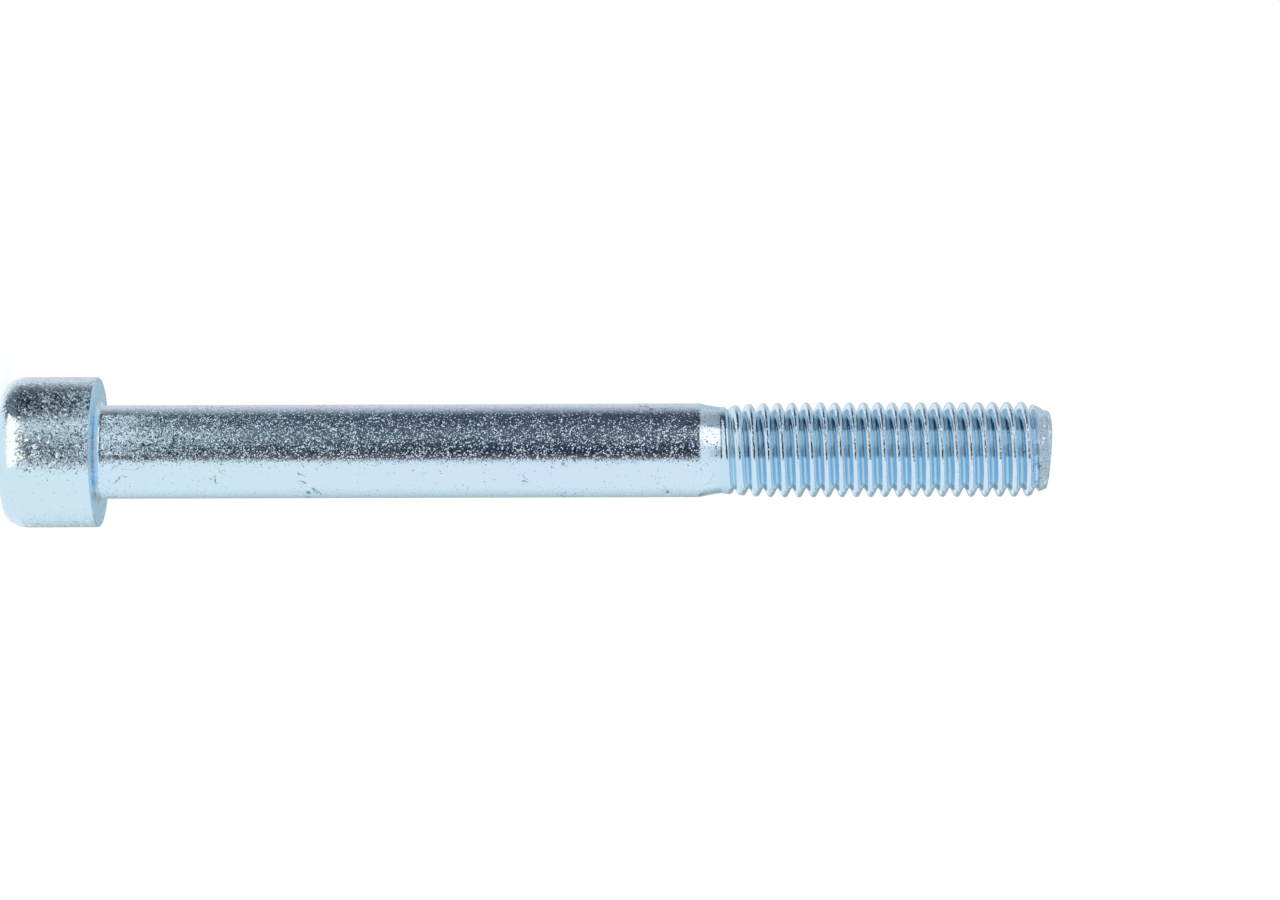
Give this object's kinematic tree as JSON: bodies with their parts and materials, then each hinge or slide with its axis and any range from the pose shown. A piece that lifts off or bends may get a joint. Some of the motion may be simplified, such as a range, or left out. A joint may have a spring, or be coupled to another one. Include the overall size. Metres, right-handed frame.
{
  "type": "hex socket cap screw",
  "caption": "Long steel cap screw with a cylindrical hex socket head, a plain shank and a partly threaded metric end.",
  "frame": {"origin": "centre of the bearing face under the head", "axes": "+Z along the shank from the head to the tip, and +X square to two flats of the hex socket"},
  "size_m": [0.0158, 0.0158, 0.1091],
  "materials": {
    "zinc_plated_steel": "bright zinc plating with a clear blue passivation"
  },
  "bodies": {
    "root": {"screw": "zinc_plated_steel"}
  },
  "joints": []
}
